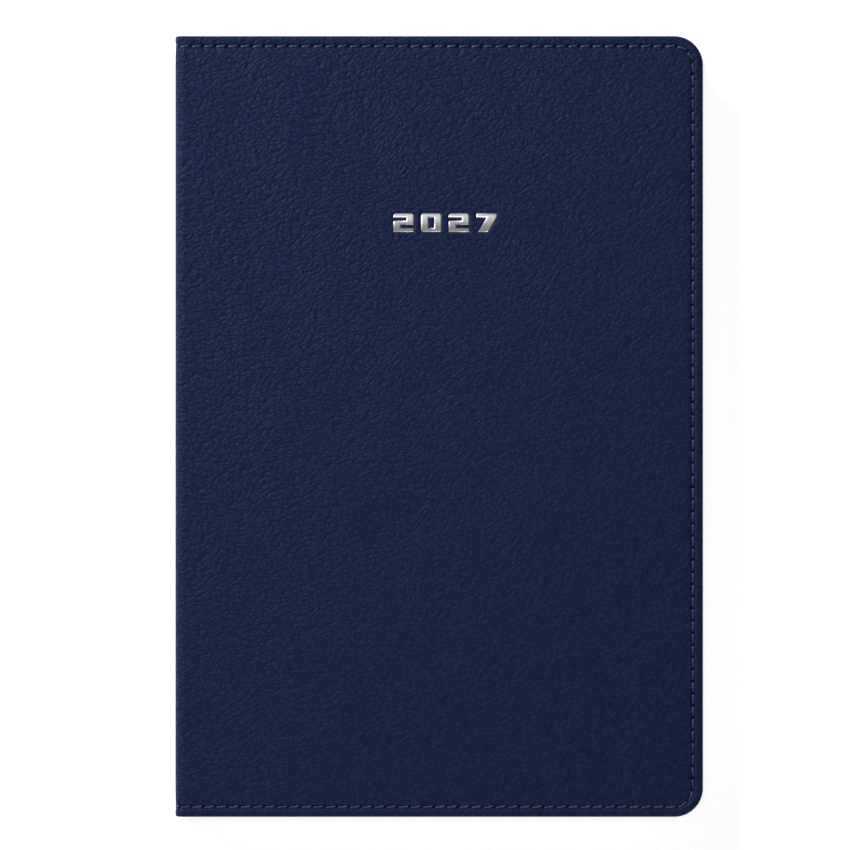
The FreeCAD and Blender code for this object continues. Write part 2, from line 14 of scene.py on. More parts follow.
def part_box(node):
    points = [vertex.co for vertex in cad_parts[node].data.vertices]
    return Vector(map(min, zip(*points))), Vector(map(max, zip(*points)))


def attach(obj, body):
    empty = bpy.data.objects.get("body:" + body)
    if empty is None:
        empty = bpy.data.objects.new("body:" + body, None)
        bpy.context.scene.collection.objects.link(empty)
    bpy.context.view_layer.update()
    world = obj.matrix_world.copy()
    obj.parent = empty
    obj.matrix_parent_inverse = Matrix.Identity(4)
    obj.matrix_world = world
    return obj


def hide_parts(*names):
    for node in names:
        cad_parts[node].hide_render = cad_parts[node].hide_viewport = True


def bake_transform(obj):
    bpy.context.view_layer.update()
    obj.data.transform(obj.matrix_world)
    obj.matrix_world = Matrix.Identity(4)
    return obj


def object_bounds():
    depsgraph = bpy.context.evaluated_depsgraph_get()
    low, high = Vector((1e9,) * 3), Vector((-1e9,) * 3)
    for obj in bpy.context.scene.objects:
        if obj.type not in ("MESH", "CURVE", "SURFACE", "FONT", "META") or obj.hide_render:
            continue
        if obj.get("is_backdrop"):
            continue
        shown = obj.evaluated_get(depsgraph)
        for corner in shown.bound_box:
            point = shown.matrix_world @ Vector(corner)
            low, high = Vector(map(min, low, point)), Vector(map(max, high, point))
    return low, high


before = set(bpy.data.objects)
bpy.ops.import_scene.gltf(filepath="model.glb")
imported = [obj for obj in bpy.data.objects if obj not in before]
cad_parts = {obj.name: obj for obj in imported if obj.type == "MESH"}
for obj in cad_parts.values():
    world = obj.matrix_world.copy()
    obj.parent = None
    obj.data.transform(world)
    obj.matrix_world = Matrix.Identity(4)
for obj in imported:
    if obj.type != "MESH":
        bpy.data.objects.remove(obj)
cad_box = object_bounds()
mm = 0.001

# ---- Camera ----
# It looks straight down on the front cover through a long lens, with the book's head at the top and the
# book a little to the right of the middle.

(LEFT, _, FLOOR), (RIGHT, HEAD, TOP) = (tuple(corner) for corner in cad_box)
view_width = 235.0 * mm
view_height = 2.2
view_centre = (-3.9 * mm, 0.4 * mm)

lens = bpy.data.cameras.new("camera")
lens.sensor_width = 36.0
lens.lens = lens.sensor_width * view_height / view_width
lens.clip_end = 20.0
camera = bpy.data.objects.new("camera", lens)
camera.location = (*view_centre, TOP + view_height)
bpy.context.scene.collection.objects.link(camera)
bpy.context.scene.camera = camera
bpy.context.scene.view_settings.view_transform = "Standard"


# ---- Leaves ----
# Ten sections of sixteen leaves. Each section is eight sheets of smooth cream paper, folded one inside
# the other and sewn through the fold. The pages carry a ruled log table with no words.


class Shade:
    """One socket of a material's nodes. Sums on it are written as Python, and each adds Math nodes."""

    def __init__(self, tree, socket=None):
        self.tree, self.socket = tree, socket

    def node(self, kind, settings=(), inputs=(), out=0):
        """A new node of that kind, its settings made before its sockets are filled. Returns one output."""
        made = self.tree.nodes.new("ShaderNode" + kind)
        for name, value in dict(settings).items():
            setattr(made, name, value)
        for name, value in dict(inputs).items():
            if isinstance(value, Shade):
                self.tree.links.new(value.socket, made.inputs[name])
            else:
                made.inputs[name].default_value = value
        return Shade(self.tree, made.outputs[out])

    def maths(self, operation, *values):
        """A Math node on the values, which are numbers or Shades."""
        return self.node("Math", {"operation": operation}, dict(enumerate(values)))

    def __add__(self, other):
        return self.maths("ADD", self, other)

    def __radd__(self, other):
        return self.maths("ADD", other, self)

    def __sub__(self, other):
        return self.maths("SUBTRACT", self, other)

    def __rsub__(self, other):
        return self.maths("SUBTRACT", other, self)

    def __mul__(self, other):
        return self.maths("MULTIPLY", self, other)

    def __truediv__(self, other):
        return self.maths("DIVIDE", self, other)

    def __lt__(self, other):
        return self.maths("LESS_THAN", self, other)

    def __gt__(self, other):
        return self.maths("GREATER_THAN", self, other)

    def __abs__(self):
        return self.maths("ABSOLUTE", self)

    def wave(self, length):
        """A sine wave that repeats after length."""
        return self.maths("SINE", self * (2 * math.pi / length))

    def repeat(self, length):
        """0 to 1 over each length, again and again."""
        return self.maths("FRACT", self / length)

    def or_more(self, other):
        """The larger of the two."""
        return self.maths("MAXIMUM", self, other)

    def rise(self, low, high):
        """0 below low and 1 above high, smooth between. Falls where low is the larger."""
        settings = {"interpolation_type": "SMOOTHSTEP"}
        return self.node("MapRange", settings, {0: self, 1: low, 2: high, 3: 0.0, 4: 1.0})

    def mix(self, first, second):
        """From the first colour to the second, by this share."""
        return self.node("Mix", {"data_type": "RGBA"}, {0: self, 6: first, 7: second}, 2)

    def noise(self, size, detail=2.0, roughness=0.5, out=0):
        """Noise with lumps about size metres across, on this vector."""
        inputs = {"Vector": self, "Scale": 1 / size, "Detail": detail, "Roughness": roughness}
        return self.node("TexNoise", {}, inputs, out)

    def parts(self):
        """The three numbers of this vector."""
        return [self.node("SeparateXYZ", {}, {0: self}, axis) for axis in range(3)]


def made_place(start):
    """Each point's place on the piece as it was made, before it moves."""
    return start.node("TexCoord", {}, {}, 3)


def new_finish(name, **constants):
    """A material whose shader has those constants: it, its shader, and a Shade to start nodes from."""
    material = bpy.data.materials.new(name)
    material.use_nodes = True
    shader = material.node_tree.nodes["Principled BSDF"]
    for socket, value in constants.items():
        shader.inputs[socket.replace("_", " ")].default_value = value
    return material, shader, Shade(material.node_tree)


def feed(shader, **sources):
    """Links each Shade to the shader's socket of that name."""
    for socket, source in sources.items():
        source.tree.links.new(source.socket, shader.inputs[socket.replace("_", " ")])


def bump(start, height, distance):
    """The normal of a surface whose relief is height times distance."""
    return start.node("Bump", {}, {"Height": height, "Distance": distance, "Strength": 1.0})


def stored(start, name):
    """A vector kept on the mesh, so that a pattern stays in place as the piece bends."""
    return start.node("Attribute", {"attribute_name": name}, {}, 1)


def wear(thing, material):
    """Gives the piece that material and no other."""
    thing.data.materials.clear()
    thing.data.materials.append(material)


def new_piece(name, points, faces, **vectors):
    """A mesh object from points and faces, with a stored vector for each point under each name. Edges
    sharper than 50 degrees stay sharp."""
    mesh = bpy.data.meshes.new(name)
    mesh.from_pydata(np.asarray(points).tolist(), [], faces)
    for label, values in vectors.items():
        layer = mesh.attributes.new(label, "FLOAT_VECTOR", "POINT")
        layer.data.foreach_set("vector", np.asarray(values, np.float32).ravel())
    shell = bmesh.new()
    shell.from_mesh(mesh)
    bmesh.ops.recalc_face_normals(shell, faces=shell.faces)
    shell.to_mesh(mesh)
    shell.free()
    mesh.shade_smooth()
    mesh.set_sharp_from_angle(angle=math.radians(50))
    piece = bpy.data.objects.new(name, mesh)
    bpy.context.scene.collection.objects.link(piece)
    return piece


def node_span(node, axis):
    """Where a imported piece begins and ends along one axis."""
    low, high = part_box(node)
    return low[axis], high[axis]


FOLDS, FORE_EDGE = node_span("section_05", 0)
LEAF_HALF = node_span("section_05", 1)[1]
LEAF_RADIUS = 5.0 * mm
SHEETS = 8
SHEET_SHARE = 0.94  # of the room for one sheet. The rest is the air beside it.
TRIM_SCATTER = 0.08 * mm
HEAD_SCATTER = 0.05 * mm
turn_start = FOLDS + 0.5 * mm
turn_end = FOLDS + 22.0 * mm
leaf_rng = np.random.default_rng(27)


def leaf_places(first, last):
    """Places across a leaf from its fold: close together where it bends and round its corners."""
    bend = np.linspace(first, turn_end, 24)
    flat = np.linspace(turn_end, last - LEAF_RADIUS, 6)[1:]
    corner = last - LEAF_RADIUS * (1 - np.sin(np.linspace(0, math.pi / 2, 9)[1:]))
    return np.concatenate([bend, flat, corner])


def leaf_reach(x, last, half, radius):
    """How far a leaf reaches towards head and tail at x, with its fore-edge corners rounded."""
    past = np.clip(x - (last - radius), 0, radius)
    return half - (radius - np.sqrt(np.maximum(radius**2 - past**2, 0)))


def add_strip(points, faces, pages, outer, inner, reach, page):
    """A sheet with faces outer and inner, each an (x, z) path, and reach towards head and tail."""
    first = len(points)
    for (ox, oz), (ix, iz), y, place in zip(outer, inner, reach, page):
        for x, z in ((ox, oz), (ix, iz)):
            for side in (-1, 1):
                points.append((x, y * side, z))
                pages.append((place[0], y * side, place[1]))
    for n in range(len(outer) - 1):
        a, b = first + n * 4, first + n * 4 + 4
        faces += [(a, a + 1, b + 1, b), (a + 2, b + 2, b + 3, a + 3)]
        faces += [(a, b, b + 2, a + 2), (a + 1, a + 3, b + 3, b + 1)]
    end = first + (len(outer) - 1) * 4
    faces += [(first, first + 2, first + 3, first + 1), (end, end + 1, end + 3, end + 2)]


def folded_sheet(points, faces, pages, middle, room, radius, thickness):
    """One sheet of a section room thick, folded round middle at that radius."""
    centre = FOLDS + room / 2
    trims = FORE_EDGE - leaf_rng.uniform(0, TRIM_SCATTER, 2)
    tones = leaf_rng.uniform(0.0, 1.0, 2)
    outer, inner, reach, page = [], [], [], []
    for side, trim, tone in ((1, trims[0], tones[0]), (-1, trims[1], tones[1])):
        places = leaf_places(centre, trim)
        places = places[::-1] if side > 0 else places
        half = LEAF_HALF - leaf_rng.uniform(0, HEAD_SCATTER)
        reaches = leaf_reach(places, trim, half, LEAF_RADIUS)
        for x, y in zip(places, reaches):
            outer.append((x, middle + side * (radius + thickness / 2)))
            inner.append((x, middle + side * (radius - thickness / 2)))
            reach.append(y)
            page.append((x - centre, tone))
        if side > 0:
            for angle in np.linspace(0, math.pi, 9)[1:-1]:
                across, up = -math.sin(angle), math.cos(angle)
                for path, r in ((outer, radius + thickness / 2), (inner, radius - thickness / 2)):
                    path.append((centre + across * r, middle + up * r))
                reach.append(LEAF_HALF)
                page.append((0.0, tone))
    add_strip(points, faces, pages, outer, inner, reach, page)


TABLE_START, TABLE_END = 9.0 * mm, 131.0 * mm
TABLE_MARGIN = 14.0 * mm
HEADING_FOOT = 27.0 * mm
ROW = 6.5 * mm
ROW_RULE = 0.045  # of a row
COLUMN_RULE = 0.26 * mm
COLUMNS = (9.3, 24, 41, 58, 72, 83, 94, 105, 116, 130.5)


def page_paper():
    """Cream uncoated paper, ruled in grey-blue: a head band, rows, and columns of unequal width."""
    material, shader, start = new_finish("page_paper", Roughness=0.88, Specular_IOR_Level=0.25)
    page = stored(start, "page")
    across, up, tone = page.parts()
    inside = (abs(up) < LEAF_HALF - TABLE_MARGIN) * (across > TABLE_START) * (across < TABLE_END)
    rule = (up.repeat(ROW) < ROW_RULE) * inside
    for place in COLUMNS:
        rule = rule.or_more((abs(across - place * mm) < COLUMN_RULE / 2) * inside)
    band = (up > LEAF_HALF - HEADING_FOOT) * inside
    cream = (tone * 0.5 + page.noise(30 * mm) * 0.5).mix((0.77, 0.74, 0.66, 1), (0.84, 0.82, 0.75, 1))
    tinted = (band * 0.22).mix(cream, (0.33, 0.42, 0.5, 1))
    printed = (rule * 0.75).mix(tinted, (0.25, 0.33, 0.42, 1))
    fibres = page.noise(0.25 * mm, 3)
    feed(shader, Base_Color=printed, Normal=bump(start, fibres, 0.012 * mm))
    return material


paper = page_paper()
for number in range(1, 11):
    node = f"section_{number:02d}"
    low, high = node_span(node, 2)
    pitch = (high - low) / SHEETS / 2
    points, faces, pages = [], [], []
    for sheet in range(SHEETS):
        radius = (sheet + 0.5) * pitch
        thickness = pitch * SHEET_SHARE
        folded_sheet(points, faces, pages, (low + high) / 2, high - low, radius, thickness)
    section = new_piece(f"leaves_{number:02d}", points, faces, page=pages)
    wear(section, paper)
    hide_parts(node)
    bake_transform(section)


# ---- Section sewing ----
# White thread that runs across the folds at six stations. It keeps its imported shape, and gets the twist
# of its plies.


def thread_finish(name, dark, light, ply):
    """Twisted thread: bands of ply metres that slope round it."""
    material, shader, start = new_finish(name, Roughness=0.55, Sheen_Weight=0.25, Specular_IOR_Level=0.3)
    place = made_place(start)
    x, y, z = place.parts()
    turn = (x + y + z).wave(ply)
    fuzz = place.noise(0.2 * mm, 3)
    tone = turn * 0.35 + fuzz * 0.6
    feed(shader, Base_Color=tone.mix(dark, light), Normal=bump(start, turn + fuzz, 0.03 * mm))
    return material


sewing = thread_finish("white_thread", (0.5, 0.48, 0.43, 1), (0.8, 0.78, 0.72, 1), 0.5 * mm)
wear(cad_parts["section_sewing"], sewing)


# ---- Spine lining ----
# Open-weave cloth glued over the folds, and the flexible card that backs the spine's skin. Both keep
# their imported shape.


CLOTH_PITCH = 0.9 * mm


def woven_cloth():
    """Undyed cotton cloth with glue in the holes between its threads."""
    material, shader, start = new_finish("lining_cloth", Roughness=0.9)
    _, y, z = made_place(start).parts()
    weave = (y.wave(CLOTH_PITCH) * 0.5 + 0.5) * (z.wave(CLOTH_PITCH) * 0.5 + 0.5)
    colour = weave.mix((0.72, 0.69, 0.6, 1), (0.42, 0.38, 0.3, 1))
    feed(shader, Base_Color=colour, Normal=bump(start, 1 - weave, 0.15 * mm))
    return material


def pulp_card(name, dark, light):
    """Card or board with flecks of unbleached pulp."""
    material, shader, start = new_finish(name, Roughness=0.92)
    place = made_place(start)
    flecks = place.noise(0.5 * mm, 4, 0.65).rise(0.35, 0.7)
    cloud = place.noise(9 * mm)
    colour = (flecks * 0.7 + cloud * 0.3).mix(dark, light)
    feed(shader, Base_Color=colour, Normal=bump(start, flecks, 0.03 * mm))
    return material


wear(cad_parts["spine_cloth"], woven_cloth())
card = pulp_card("spine_card_pulp", (0.38, 0.35, 0.29, 1), (0.58, 0.55, 0.47, 1))
wear(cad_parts["spine_card"], card)


# ---- Boards and padding ----
# In each cover: a foam sheet, a grey board, and a thin card that fills between the turn-ins. All are
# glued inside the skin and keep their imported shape.


def foam_sheet():
    """Pale closed-cell foam, its cells about 0.3 mm across."""
    material, shader, start = new_finish("foam", Roughness=0.95)
    place = made_place(start)
    cells = place.node("TexVoronoi", {}, {"Vector": place, "Scale": 1 / (0.3 * mm)})
    colour = cells.mix((0.42, 0.42, 0.41, 1), (0.66, 0.66, 0.64, 1))
    feed(shader, Base_Color=colour, Normal=bump(start, cells, 0.05 * mm))
    return material


grey_board = pulp_card("grey_board", (0.2, 0.19, 0.17, 1), (0.4, 0.38, 0.34, 1))
foam = foam_sheet()
for side in ("front", "back"):
    wear(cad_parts[f"{side}_board"], grey_board)
    wear(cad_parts[f"{side}_infill"], card)
    wear(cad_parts[f"{side}_padding"], foam)


# ---- Headbands ----
# A cord covered in navy and white thread, at the head and tail of the folds, with a tape glued down the
# back of the block. The spine carries both.


def headband(node, end):
    """The cord across the folds, ribbed by its winding and tapered at both ends, and its tape."""
    low, high = (Vector(corner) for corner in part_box(node))
    radius = (high.x - low.x) / 2
    ribs, rings, around = 17, 120, 14
    rib_height, winding_room, tape, tape_weave = 0.07, 0.93, 0.28 * mm, 0.8 * mm
    middle_y = end * (max(abs(low.y), abs(high.y)) - radius)
    points, faces, winding = [], [], []
    for n in range(rings + 1):
        along = n / rings
        taper = min(1.0, 0.55 + 5 * min(along, 1 - along))
        lobe = 1 + rib_height * abs(math.sin(math.pi * ribs * along))
        z = low.z + (high.z - low.z) * along
        for m in range(around):
            angle = 2 * math.pi * m / around
            r = radius * winding_room * taper * lobe
            points.append((low.x + radius + r * math.cos(angle), middle_y + r * math.sin(angle), z))
            winding.append((along * ribs, angle, 0))
    for n in range(rings):
        for m in range(around):
            a, b = n * around + m, n * around + (m + 1) % around
            faces.append((a, b, b + around, a + around))
    faces += [tuple(range(around)), tuple(range(rings * around, (rings + 1) * around))]
    tape_low = min(abs(low.y), abs(high.y)) * end
    a = len(points)
    for z in (low.z, high.z):
        for x in (low.x, low.x + tape):
            for y in (tape_low, middle_y):
                points.append((x, y, z))
                winding.append((z / tape_weave, 0, 1))
    faces += [(a, a + 1, a + 3, a + 2), (a + 4, a + 6, a + 7, a + 5), (a, a + 4, a + 5, a + 1)]
    faces += [(a + 2, a + 3, a + 7, a + 6), (a, a + 2, a + 6, a + 4), (a + 1, a + 5, a + 7, a + 3)]
    band = new_piece(f"{node}_woven", points, faces, winding=winding)
    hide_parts(node)
    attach(band, "spine")
    return band


def band_silk():
    """Thread wound in stripes, navy and off-white by turns."""
    material, shader, start = new_finish("band_silk", Roughness=0.5, Sheen_Weight=0.3)
    along, angle, _ = stored(start, "winding").parts()
    stripe = along.repeat(2) < 0.5
    strand = (along * 4 + angle * 0.2).wave(1)
    colour = stripe.mix((0.66, 0.65, 0.6, 1), (0.02, 0.03, 0.085, 1))
    feed(shader, Base_Color=colour, Normal=bump(start, strand, 0.02 * mm))
    return material


silk = band_silk()
wear(headband("head_band", 1), silk)
wear(headband("tail_band", -1), silk)


# ---- Endpapers ----
# A stout folded sheet at each end of the block: one half is pasted to the cover over the turn-ins, and
# the other is the flyleaf. The pasted half's spine edge turns a little towards the fold.


ENDPAPER_SHARE = 0.9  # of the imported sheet's thickness. The rest is air.
PASTEDOWN_RADIUS = 3.0 * mm
DIP_RUN = 1.2 * mm


def endpaper(node, bend_start, bend_end, dip):
    """One half of the folded sheet. dip is how far its spine edge turns towards the fold."""
    low, high = (Vector(corner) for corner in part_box(node))
    middle, thickness = (low.z + high.z) / 2, (high.z - low.z) * ENDPAPER_SHARE
    first = FOLDS + 0.05 * mm if dip else low.x
    radius = PASTEDOWN_RADIUS if dip else LEAF_RADIUS
    places = leaf_places(first, high.x)
    reaches = leaf_reach(places, high.x, high.y, radius)
    level = middle + dip * np.clip(1 - (places - first) / DIP_RUN, 0, 1) ** 2
    outer = [(x, z + thickness / 2) for x, z in zip(places, level)]
    inner = [(x, z - thickness / 2) for x, z in zip(places, level)]
    points, faces, pages = [], [], []
    add_strip(points, faces, pages, outer, inner, reaches, [(x, 0.5) for x in places])
    sheet = new_piece(f"{node}_paper", points, faces, page=pages)
    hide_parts(node)
    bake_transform(sheet)
    return sheet


def endpaper_stock():
    """Off-white laid paper: faint lines 1.1 mm apart, and a cloudy sheet."""
    material, shader, start = new_finish("endpaper_stock", Roughness=0.86, Specular_IOR_Level=0.25)
    place = stored(start, "page")
    _, up, _ = place.parts()
    laid = up.wave(1.1 * mm)
    cloud = place.noise(14 * mm, 4, 0.6)
    colour = (cloud + laid * 0.05).mix((0.74, 0.72, 0.66, 1), (0.83, 0.81, 0.75, 1))
    feed(shader, Base_Color=colour, Normal=bump(start, laid + place.noise(0.3 * mm, 3), 0.01 * mm))
    return material


stock = endpaper_stock()
joint_start, joint_end = FOLDS - 0.2 * mm, FOLDS + 4.2 * mm
wear(endpaper("front_pastedown", joint_start, joint_end, -0.14 * mm), stock)
wear(endpaper("front_flyleaf", turn_start, turn_end, 0), stock)
wear(endpaper("back_flyleaf", turn_start, turn_end, 0), stock)
wear(endpaper("back_pastedown", joint_start, joint_end, 0.08 * mm), stock)


# ---- Leatherette ----
# One grained skin over both covers and the spine, turned in all round over the boards. It is made here
# as two halves that meet down the middle of the spine.

CORNER = 8.0 * mm
BEND_RADIUS = 2.5 * mm
SKIN = 0.78 * mm
TURN_IN = 0.48 * mm
TURN_IN_WIDTH = 9.0 * mm
SPINE_THICK = 1.3 * mm
COVER_THICK = 3.0 * mm
SEAM_INSET = 2.8 * mm
margin = 12.0 * mm
middle = TOP / 2
spine_run = middle - BEND_RADIUS
bend_run = spine_run + BEND_RADIUS * math.pi / 2
face_end = bend_run + (RIGHT - margin) - (LEFT + BEND_RADIUS)
corner_run = 2 * (margin - CORNER) + math.pi / 2 * (CORNER - SEAM_INSET)
side_run = 2 * (HEAD - margin)
seam_run = 2 * face_end + 2 * corner_run + side_run
STITCH_COUNT = round(seam_run / (3.35 * mm))
STITCH = seam_run / STITCH_COUNT


def across_case(run):
    """The case's outer face at run from the middle of the spine: x, z, and the way out from it."""
    if run < spine_run:
        return LEFT, middle + run, (-1.0, 0.0)
    if run < bend_run:
        angle = (run - spine_run) / BEND_RADIUS
        out = (-math.cos(angle), math.sin(angle))
        return LEFT + BEND_RADIUS * (1 + out[0]), TOP - BEND_RADIUS * (1 - out[1]), out
    return LEFT + BEND_RADIUS + run - bend_run, TOP, (0.0, 1.0)


GROWTH_LEAD, GROWTH_RUN = 0.8 * mm, 2.6 * mm


def case_thickness(run):
    """The case is thin over the spine, and grows to the cover's thickness from GROWTH_LEAD inside the
    bend's end."""
    share = np.clip((run - bend_run + GROWTH_LEAD) / GROWTH_RUN, 0, 1)
    return SPINE_THICK + (COVER_THICK - SPINE_THICK) * share * share * (3 - 2 * share)


def ring(size, radius, share):
    """A point at share of the way round a square corner of that size and radius, from +X to +Y."""
    straight = size - radius
    length = 2 * straight + radius * math.pi / 2
    run = share * length
    if run <= straight:
        return size, run
    if run >= length - straight:
        return length - run, size
    angle = (run - straight) / radius
    return straight + radius * math.cos(angle), straight + radius * math.sin(angle)


CHANNEL_DEPTH, CHANNEL_WIDTH = 0.38 * mm, 0.42 * mm
SWELL, SWELL_RUN = 0.12 * mm, 1.8 * mm
HEM_START, HEM_RUN = 1.5 * mm, 1.3 * mm
OUTER_EDGE, INNER_EDGE = 1.1 * mm, 0.45 * mm  # the radii of the rim's two rounded edges
EDGE_WALL, LEDGE = 0.9 * mm, 1.6 * mm  # the skin's thickness at the rim, and where its inner face stops


def face_depth(inset):
    """How far the face lies under its highest level: the hem's soft dome, the seam's channel, the swell."""
    channel = CHANNEL_DEPTH * np.exp(-(((inset - SEAM_INSET) / CHANNEL_WIDTH) ** 2))
    swell = SWELL * np.exp(-np.maximum(inset - SEAM_INSET, 0) / SWELL_RUN) * (inset > SEAM_INSET)
    hem = SWELL * np.clip((inset - HEM_START) / HEM_RUN, 0, 1) * (inset <= SEAM_INSET)
    return channel + swell + hem


def edge_profile(thickness):
    """Insets and depths from the face, round the edge, under the turn-in and back inside the skin."""
    outer = min(OUTER_EDGE, thickness * 0.5)
    inner = min(INNER_EDGE, thickness * 0.3)
    face = [12, 11, 10, 9, 8, 7, 6.2, 5.5, 4.9, 4.4, 4.0, 3.7, 3.45, 3.25, 3.1, 2.95, 2.8]
    face += [2.65, 2.5, 2.35, 2.15, 1.9, 1.6, 1.35]
    insets = [i * mm for i in face]
    depths = [float(face_depth(i)) for i in insets]
    for angle in np.linspace(0, math.pi / 2, 8):
        insets.append(outer * (1 - math.sin(angle)))
        depths.append(outer * (1 - math.cos(angle)))
    for angle in np.linspace(0, math.pi / 2, 5):
        insets.append(inner * (1 - math.cos(angle)))
        depths.append(thickness - inner * (1 - math.sin(angle)))
    turn_in = ((1.6, 0), (2.55, 0), (2.65, 0.3), (2.95, 0.3), (3.05, 0), (5, 0), (7.5, 0), (8.9, 0))
    for inset, rise in turn_in:
        insets.append(inset * mm)
        depths.append(thickness - rise * mm)
    inside = ((TURN_IN_WIDTH, thickness - 0.1 * mm), (TURN_IN_WIDTH, thickness - TURN_IN))
    inside += ((EDGE_WALL, thickness - TURN_IN), (EDGE_WALL, SKIN), (LEDGE, SKIN))
    for inset, depth in inside:
        insets.append(inset)
        depths.append(depth)
    return np.array(insets), np.array(depths)


def spaced(low, high, wide, fine_low, fine_high, fine):
    """Places from low to high, wide apart, but closer from fine_low to fine_high."""
    before = np.linspace(low, fine_low, max(2, round((fine_low - low) / wide)) + 1)[:-1]
    within = np.linspace(fine_low, fine_high, round((fine_high - fine_low) / fine) + 1)[:-1]
    after = np.linspace(fine_high, high, max(2, round((high - fine_high) / wide)) + 1)
    return np.concatenate([before, within, after])


# The numerals are needed here, because the skin is pressed in under them.
year_low, year_high = (Vector(corner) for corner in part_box("year_numerals"))
DIGIT_WIDTH = 5.75 * mm
DIGIT_HEIGHT = year_high.y - year_low.y
DIGIT_PITCH = (year_high.x - year_low.x - DIGIT_WIDTH) / 3
STEM, BAR, DIGIT_ROUND = 2.05 * mm, 1.2 * mm, 0.8 * mm


def rounded(corners):
    """The outline through (x, y, radius) corners, with each corner's arc drawn in."""
    outline = []
    for n, (x, y, radius) in enumerate(corners):
        here = np.array((x, y))
        if not radius:
            outline.append(here)
            continue
        before = np.array(corners[n - 1][:2]) - here
        after = np.array(corners[(n + 1) % len(corners)][:2]) - here
        before, after = before / np.linalg.norm(before), after / np.linalg.norm(after)
        centre = here + (before + after) * radius
        for angle in np.linspace(0, math.pi / 2, 6):
            outline.append(centre - after * radius * math.cos(angle) - before * radius * math.sin(angle))
    return np.array(outline)


def digit_outlines(digit):
    """The outlines of one block numeral from its lower left corner: the outside, then a hole if any."""
    w, h, small, large = DIGIT_WIDTH, DIGIT_HEIGHT, DIGIT_ROUND / 2, DIGIT_ROUND
    slot = (h - 3 * BAR) / 2
    if digit == "2":
        corners = [(0, 0, 0), (w, 0, 0), (w, BAR, 0), (STEM, BAR, 0), (STEM, BAR + slot, 0)]
        corners += [(w, BAR + slot, small), (w, h, large), (0, h, large), (0, h - BAR, 0)]
        corners += [(w - STEM, h - BAR, 0), (w - STEM, h - BAR - slot, 0), (0, h - BAR - slot, small)]
        return [rounded(corners)]
    if digit == "0":
        outside = [(0, 0, large), (w, 0, large), (w, h, large), (0, h, large)]
        hole = [(STEM, BAR, 0), (w - STEM, BAR, 0), (w - STEM, h - BAR, 0), (STEM, h - BAR, 0)]
        return [rounded(outside), rounded(hole)]
    toe = STEM * 0.22
    corners = [(toe, 0, 0), (toe + STEM * 1.35, 0, 0), (w, h - BAR, 0), (w, h, 0)]
    corners += [(0, h, 0), (0, h - BAR, 0), (w - STEM * 1.4, h - BAR, 0)]
    return [rounded(corners)]


def year_outlines():
    """Every numeral's outlines, in place on the cover."""
    for number, digit in enumerate("2027"):
        shift = np.array((year_low.x + DIGIT_PITCH * number, year_low.y))
        yield [outline + shift for outline in digit_outlines(digit)]


def outside_by(points, outline):
    """Distance from each point to the outline, less than nothing inside it."""
    nearest = np.full(len(points), 1.0)
    inside = np.zeros(len(points), bool)
    for a, b in zip(outline, np.roll(outline, -1, axis=0)):
        along = b - a
        share = np.clip((points - a) @ along / (along @ along), 0, 1)
        nearest = np.minimum(nearest, np.linalg.norm(points - a - share[:, None] * along, axis=1))
        level = (a[1] > points[:, 1]) != (b[1] > points[:, 1])
        with np.errstate(divide="ignore", invalid="ignore"):
            crossing = a[0] + (points[:, 1] - a[1]) * along[0] / along[1]
        inside ^= level & (points[:, 0] < crossing)
    return np.where(inside, -nearest, nearest)


STAMP_DEPTH = 0.3 * mm
STAMP_EDGE, STAMP_SLOPE = 0.4 * mm, 0.33 * mm
STAMP_REACH = (16 * mm, 4 * mm)


def pressed_depth(points):
    """How far the stamp has pressed the skin in at each (x, y), within STAMP_EDGE of a numeral."""
    depth = np.zeros(len(points))
    for outlines in year_outlines():
        away = outside_by(points, outlines[0])
        if len(outlines) > 1:
            away = np.maximum(away, -outside_by(points, outlines[1]))
        share = np.clip((STAMP_EDGE - away) / STAMP_SLOPE, 0, 1)
        depth = np.maximum(depth, STAMP_DEPTH * share * share * (3 - 2 * share))
    return depth


UNEVENNESS, PUCKER = 0.02 * mm, 0.13 * mm


def hide_relief(hide, seam):
    """Slow unevenness of the padded face, and the puckers that each stitch pulls beside the seam. The
    waves' lengths, in millimetres, never come round together."""
    u, v = hide[:, 0] / mm, hide[:, 1] / mm
    slow = np.sin(u / 7.1 + 1.3 * np.sin(v / 11.0)) * np.sin(v / 8.3 + 1.1 * np.sin(u / 13.0) + 0.7)
    slow += 0.6 * np.sin(u / 3.9 - v / 5.2 + 2.0 * np.sin(v / 17.0))
    inset = seam[:, 1] / mm
    pull = np.exp(-np.abs(inset - 3.3) / 0.9) * (inset > 2.0) * (inset < 8)
    puckers = pull * 0.5 * (1 + np.cos(2 * np.pi * seam[:, 0] / STITCH + 0.35 * (inset - 2.8)))
    return UNEVENNESS * (slow + 1.6) + PUCKER * puckers


FACE_STEP = 0.9 * mm
STAMP_MARGIN, STAMP_STEPS = 0.6 * mm, (0.28 * mm, 0.25 * mm)


